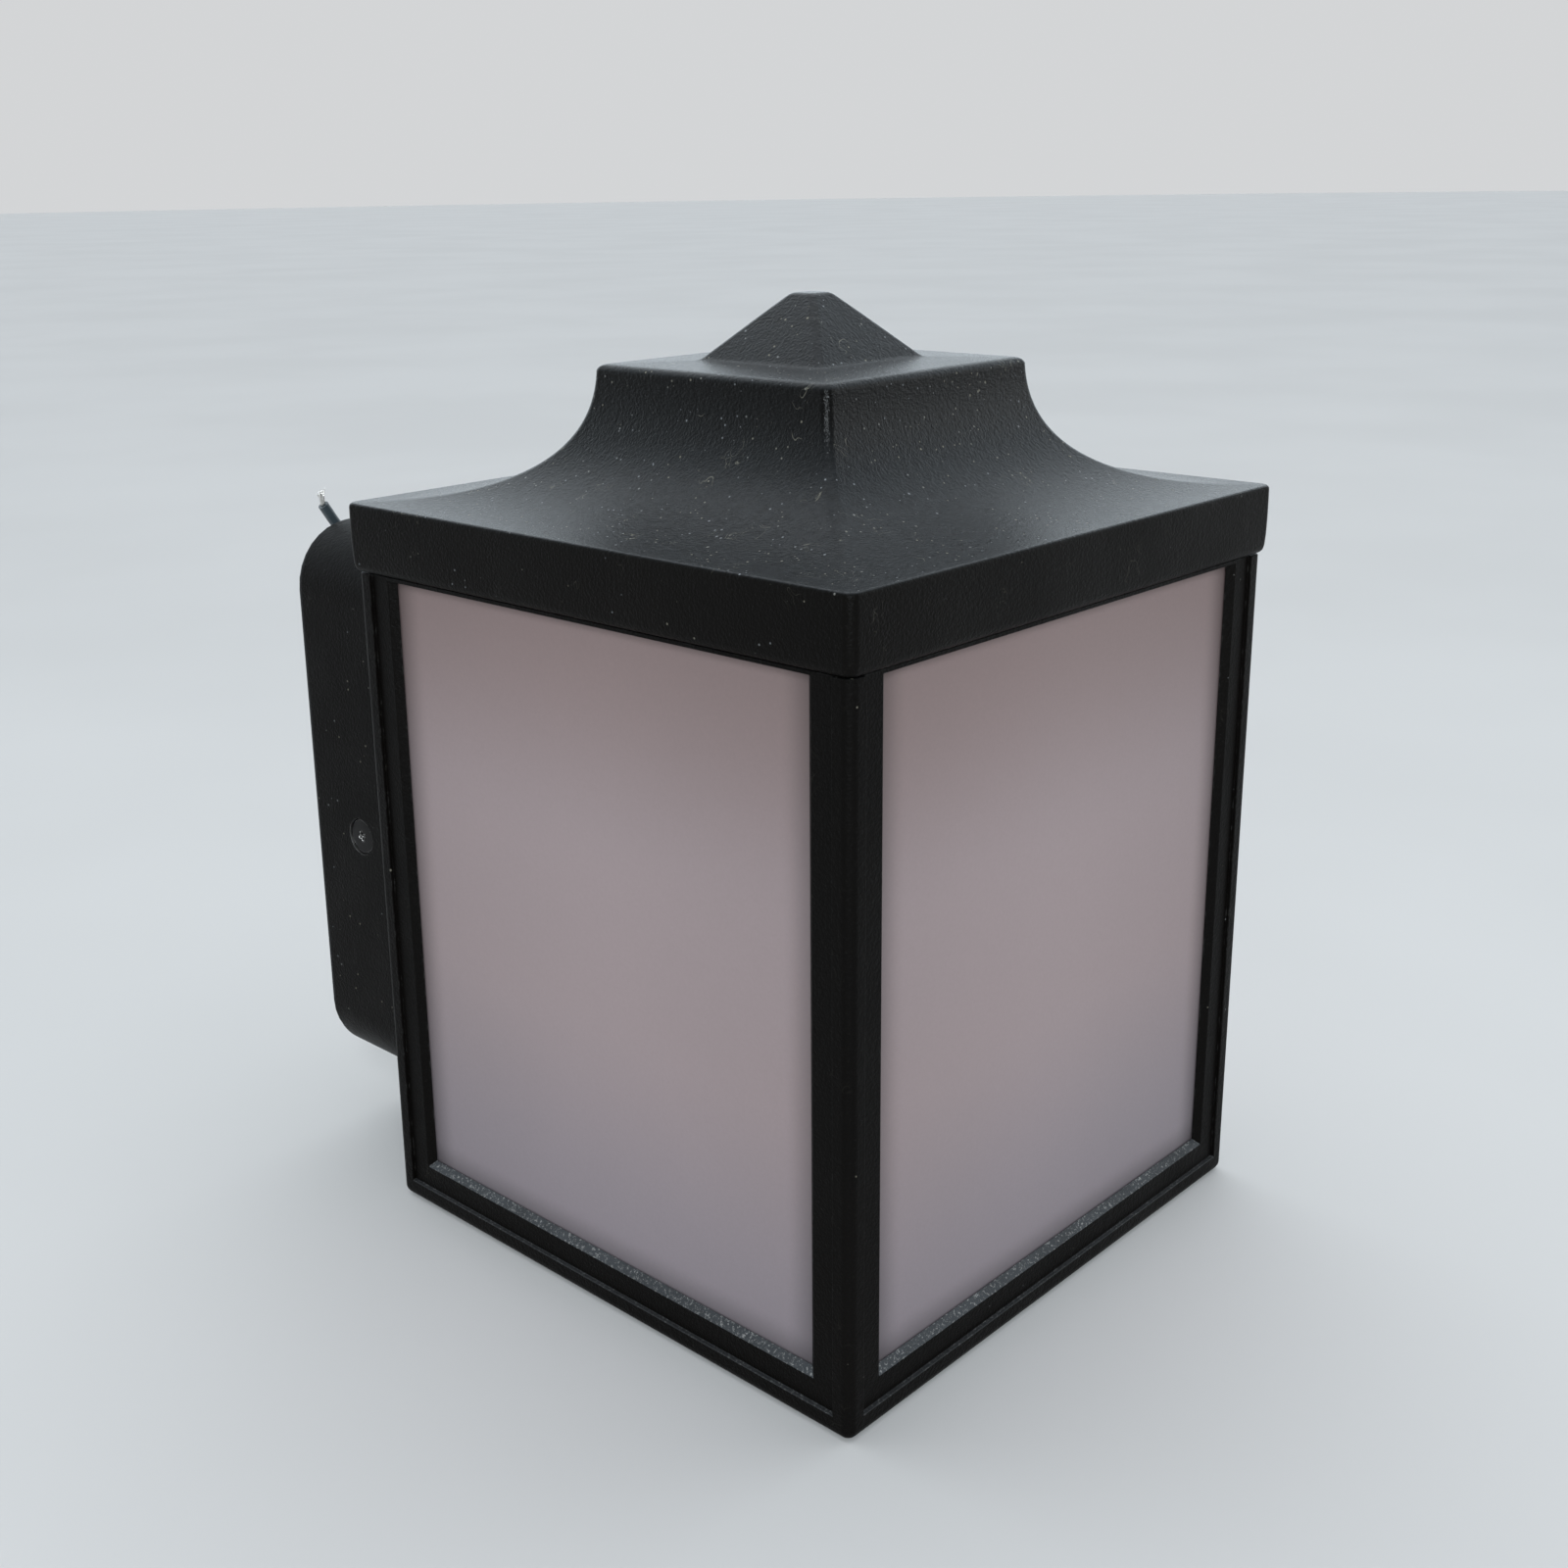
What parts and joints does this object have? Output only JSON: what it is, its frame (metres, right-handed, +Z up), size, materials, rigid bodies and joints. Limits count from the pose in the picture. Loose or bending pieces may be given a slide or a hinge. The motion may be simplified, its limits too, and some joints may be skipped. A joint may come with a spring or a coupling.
{
  "type": "outdoor wall lantern",
  "caption": "Square outdoor wall lantern with a concave pagoda roof, frosted opal panes in a black frame and a deep rounded wall housing held to a bracket by side screws.",
  "frame": {"origin": "middle of the wall bracket's back face, in the plane of the wall", "axes": "+Z up, +Y into the wall, the lantern's front faces -Y"},
  "size_m": [0.14, 0.1887, 0.2059],
  "materials": {
    "black_paint": "satin",
    "black_sheet": "matte",
    "opal_pane": "matte",
    "foam": "matte",
    "grommet_rubber": "matte",
    "black_screw": "satin",
    "green_screw": "satin",
    "zinc_steel": "satin",
    "bare_aluminium": "satin",
    "tinned_copper": "satin",
    "circuit_board": "satin",
    "driver_case": "matte",
    "insulation_black": "satin",
    "insulation_white": "satin",
    "insulation_green": "satin",
    "insulation_red": "satin"
  },
  "bodies": {
    "bracket": {"wall_bracket": "zinc_steel", "bracket_ground_screw": "green_screw"},
    "lantern": {"base_plate": "black_sheet", "base_screw_back_left": "zinc_steel", "base_screw_back_right": "zinc_steel", "base_screw_front_left": "zinc_steel", "base_screw_front_right": "zinc_steel", "board_screw_left": "zinc_steel", "board_screw_right": "zinc_steel", "driver_screw_left": "zinc_steel", "driver_screw_right": "zinc_steel", "ground_terminal": "tinned_copper", "ground_terminal_screw": "green_screw", "heat_sink_plate": "bare_aluminium", "housing_gasket": "foam", "housing_screw_bottom_left": "zinc_steel", "housing_screw_bottom_right": "zinc_steel", "housing_screw_top_left": "zinc_steel", "housing_screw_top_right": "zinc_steel", "lantern_frame": "black_paint", "lead_black": "insulation_black", "lead_black_tip": "tinned_copper", "lead_ground": "insulation_green", "lead_ground_tip": "tinned_copper", "lead_white": "insulation_white", "lead_white_tip": "tinned_copper", "led_board": "circuit_board", "led_driver": "driver_case", "led_wire_black": "insulation_black", "led_wire_red": "insulation_red", "pane_front": "opal_pane", "pane_left": "opal_pane", "pane_retainer_back_left": "black_sheet", "pane_retainer_back_right": "black_sheet", "pane_retainer_front_left": "black_sheet", "pane_retainer_front_right": "black_sheet", "pane_right": "opal_pane", "roof_cap": "black_paint", "roof_screw_back_left": "zinc_steel", "roof_screw_back_right": "zinc_steel", "roof_screw_front_left": "zinc_steel", "roof_screw_front_right": "zinc_steel", "roof_seal": "foam", "wall_gasket": "foam", "wall_housing": "black_paint", "wire_grommet": "grommet_rubber"},
    "screw_left": {"side_screw_left": "black_screw"},
    "screw_right": {"side_screw_right": "black_screw"}
  },
  "joints": [
    {"name": "lantern_pull_off", "type": "slide", "parent": "bracket", "child": "lantern", "axis": [0, -1, 0], "range_m": [0, 0.05]},
    {"name": "side_screw_left_out", "type": "slide", "parent": "lantern", "child": "screw_left", "axis": [-1, 0, 0], "range_m": [0, 0.014]},
    {"name": "side_screw_right_out", "type": "slide", "parent": "lantern", "child": "screw_right", "axis": [1, 0, 0], "range_m": [0, 0.014]}
  ]
}
